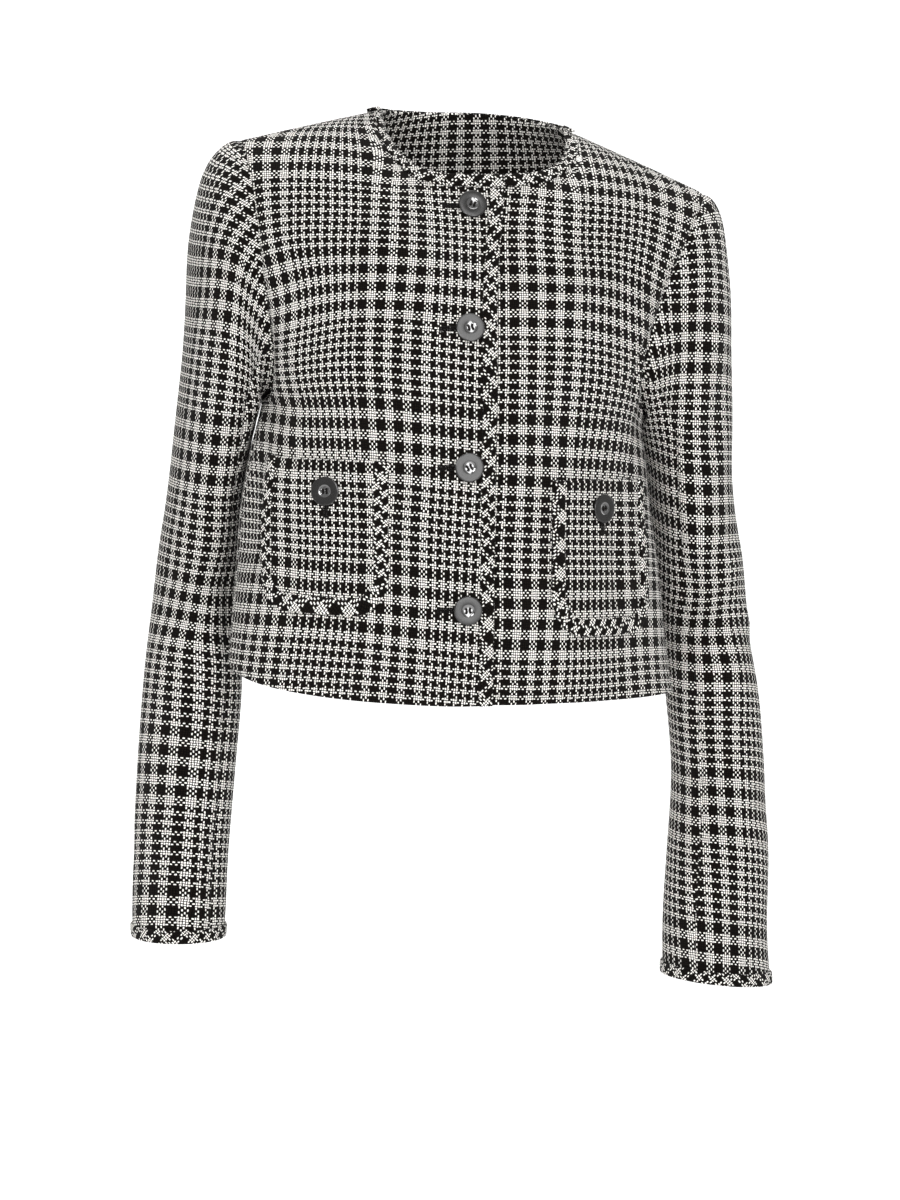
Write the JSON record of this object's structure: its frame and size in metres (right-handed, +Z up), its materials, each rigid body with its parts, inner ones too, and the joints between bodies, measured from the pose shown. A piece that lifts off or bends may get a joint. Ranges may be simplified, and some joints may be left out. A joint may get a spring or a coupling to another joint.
{
  "type": "cropped jacket",
  "caption": "Boxy cropped tweed jacket, worn and buttoned: collarless round neck, long set-in sleeves, patch pockets, and narrow bias bands round neck, edge, cuffs and pockets.",
  "frame": {"origin": "between the two neck points, at the height of the wearer's shoulders, where the jacket hangs from them", "axes": "+Z up along the wearer's body, -Y out of the jacket's front, +X to the wearer's left"},
  "size_m": [0.5127, 0.2542, 0.6936],
  "materials": {
    "tweed": "coarse woven wool, black and cream glen check",
    "bias_band": "the same cloth cut on the bias",
    "button": "dark polished plastic"
  },
  "bodies": {
    "root": {"front_right": "tweed", "front_left": "tweed", "back": "tweed", "sleeve_upper_right": "tweed", "sleeve_under_right": "tweed", "band_cuff_right": "bias_band", "pocket_right": "tweed", "band_pocket_right": "bias_band", "sleeve_upper_left": "tweed", "sleeve_under_left": "tweed", "band_cuff_left": "bias_band", "pocket_left": "tweed", "band_pocket_left": "bias_band", "band_neck": "bias_band", "band_front_edge": "bias_band", "button_front_1": "button", "button_front_2": "button", "button_front_3": "button", "button_front_4": "button", "button_pocket_right": "button", "button_pocket_left": "button"}
  },
  "joints": []
}
